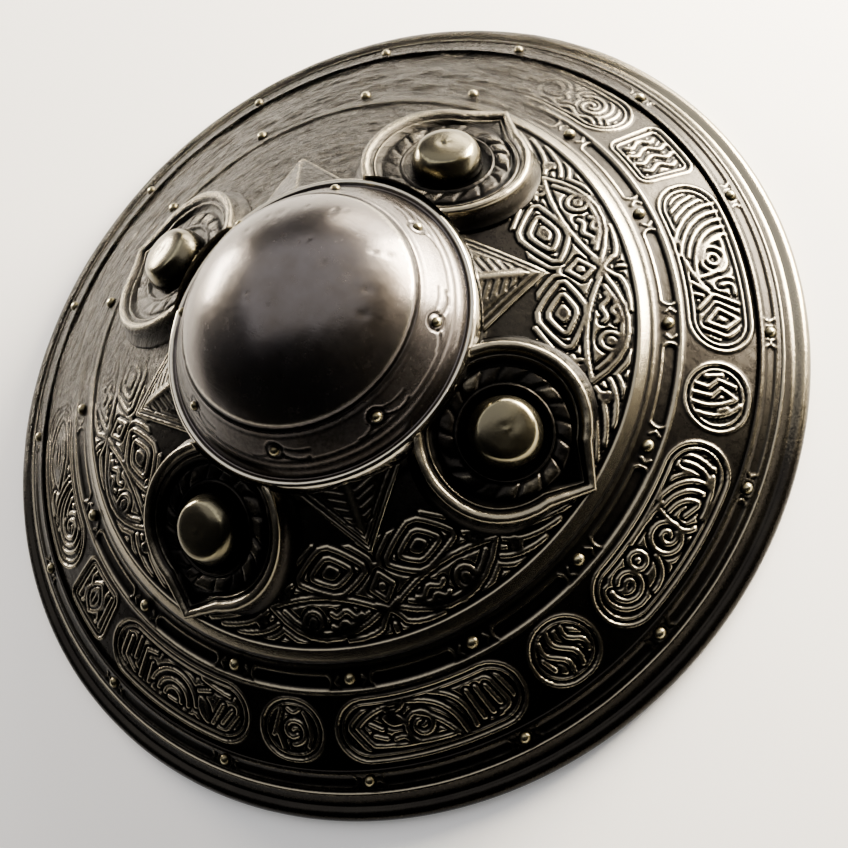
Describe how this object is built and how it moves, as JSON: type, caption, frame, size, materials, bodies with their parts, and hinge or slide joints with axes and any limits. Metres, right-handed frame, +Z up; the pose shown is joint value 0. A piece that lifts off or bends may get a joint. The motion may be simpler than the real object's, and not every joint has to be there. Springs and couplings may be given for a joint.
{
  "type": "buckler shield",
  "caption": "Round dished iron buckler lying face up: domed boss on a riveted flange, knobs in pointed bezels, folded leaves, ornamented band, rolled rim and a strap grip behind.",
  "frame": {"origin": "on the ground plane at the centre of the rim, which the shield lies on face up", "axes": "+Z up through the boss; +X and +Y each pass through a knob; the grip strap runs along X"},
  "size_m": [0.32, 0.32, 0.1063],
  "materials": {
    "dark_iron": "blackened, rubbed bright on raised edges",
    "polished_iron": "worn smooth, grey, lightly dented",
    "rivet_metal": "dull pale brass",
    "back_iron": "plain hammered",
    "leather": "dark, wound and rubbed"
  },
  "bodies": {
    "root": {"plate": "dark_iron", "rim": "dark_iron", "disc": "dark_iron", "bezel_1": "dark_iron", "leaf_1": "dark_iron", "knob_1": "polished_iron", "bezel_2": "dark_iron", "leaf_2": "dark_iron", "knob_2": "polished_iron", "bezel_3": "dark_iron", "leaf_3": "dark_iron", "knob_3": "polished_iron", "bezel_4": "dark_iron", "leaf_4": "dark_iron", "knob_4": "polished_iron", "boss": "polished_iron", "rim_rivet_01": "rivet_metal", "band_rivet_01": "rivet_metal", "rim_rivet_02": "rivet_metal", "band_rivet_02": "rivet_metal", "rim_rivet_03": "rivet_metal", "band_rivet_03": "rivet_metal", "rim_rivet_04": "rivet_metal", "band_rivet_04": "rivet_metal", "rim_rivet_05": "rivet_metal", "band_rivet_05": "rivet_metal", "rim_rivet_06": "rivet_metal", "band_rivet_06": "rivet_metal", "rim_rivet_07": "rivet_metal", "band_rivet_07": "rivet_metal", "rim_rivet_08": "rivet_metal", "band_rivet_08": "rivet_metal", "rim_rivet_09": "rivet_metal", "band_rivet_09": "rivet_metal", "rim_rivet_10": "rivet_metal", "band_rivet_10": "rivet_metal", "rim_rivet_11": "rivet_metal", "band_rivet_11": "rivet_metal", "rim_rivet_12": "rivet_metal", "band_rivet_12": "rivet_metal", "rim_rivet_13": "rivet_metal", "band_rivet_13": "rivet_metal", "rim_rivet_14": "rivet_metal", "band_rivet_14": "rivet_metal", "rim_rivet_15": "rivet_metal", "band_rivet_15": "rivet_metal", "rim_rivet_16": "rivet_metal", "band_rivet_16": "rivet_metal", "boss_rivet_01": "rivet_metal", "boss_rivet_02": "rivet_metal", "boss_rivet_03": "rivet_metal", "boss_rivet_04": "rivet_metal", "boss_rivet_05": "rivet_metal", "boss_rivet_06": "rivet_metal", "boss_rivet_07": "rivet_metal", "boss_rivet_08": "rivet_metal", "grip_strap": "back_iron", "grip_rivet_1": "back_iron", "grip_rivet_2": "back_iron", "grip_sleeve": "leather"}
  },
  "joints": []
}
